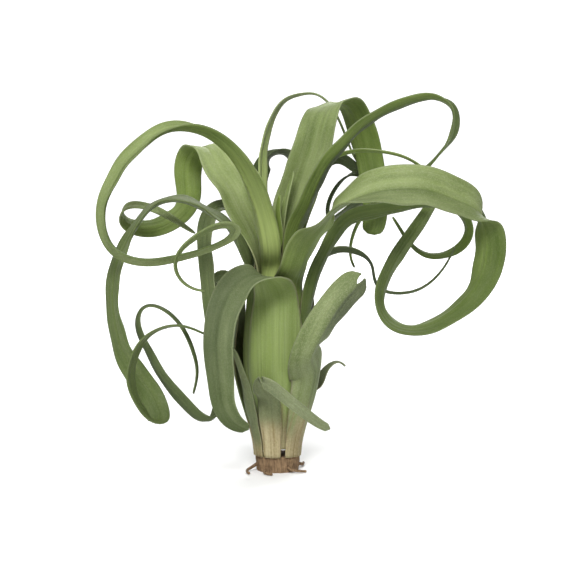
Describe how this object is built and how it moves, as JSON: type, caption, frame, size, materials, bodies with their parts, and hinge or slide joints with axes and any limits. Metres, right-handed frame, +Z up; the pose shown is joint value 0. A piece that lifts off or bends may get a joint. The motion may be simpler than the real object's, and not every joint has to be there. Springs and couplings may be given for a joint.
{
  "type": "air plant",
  "caption": "Curly-leaved air plant: strap leaves that leave a bulb of nested sheaths and curl back in wide loops, standing on its trimmed stem base.",
  "frame": {"origin": "centre of the stem base, at the surface that the plant stands on", "axes": "+Z up the stem, -Y towards the front of the plant, +X to its right as seen from the front"},
  "size_m": [0.1726, 0.1381, 0.1636],
  "materials": {
    "grey": "matte grey-green leaf with silvery scales",
    "fresh": "matte fresh green leaf",
    "dark": "matte dark green leaf",
    "old": "dry, dull old leaf",
    "stem": "rough brown stem base and wiry roots"
  },
  "bodies": {
    "root": {"leaf_back_far_right": "dark", "leaf_back_inner": "dark", "leaf_back_left": "dark", "leaf_back_middle": "dark", "leaf_back_right": "dark", "leaf_centre_broad": "fresh", "leaf_front_broad": "grey", "leaf_front_right": "grey", "leaf_heart_left": "fresh", "leaf_heart_right": "fresh", "leaf_left_arch": "fresh", "leaf_left_loop": "fresh", "leaf_left_low": "dark", "leaf_left_trailing": "dark", "leaf_old_front": "old", "leaf_old_left": "old", "leaf_old_right": "old", "leaf_right_arch": "fresh", "leaf_right_curl": "dark", "leaf_right_strap": "fresh", "leaf_right_thin": "fresh", "leaf_top_right_loop": "fresh", "leaf_top_thin": "fresh", "leaf_upper_left_broad": "fresh", "leaf_young_left": "fresh", "stem_with_roots": "stem"}
  },
  "joints": []
}
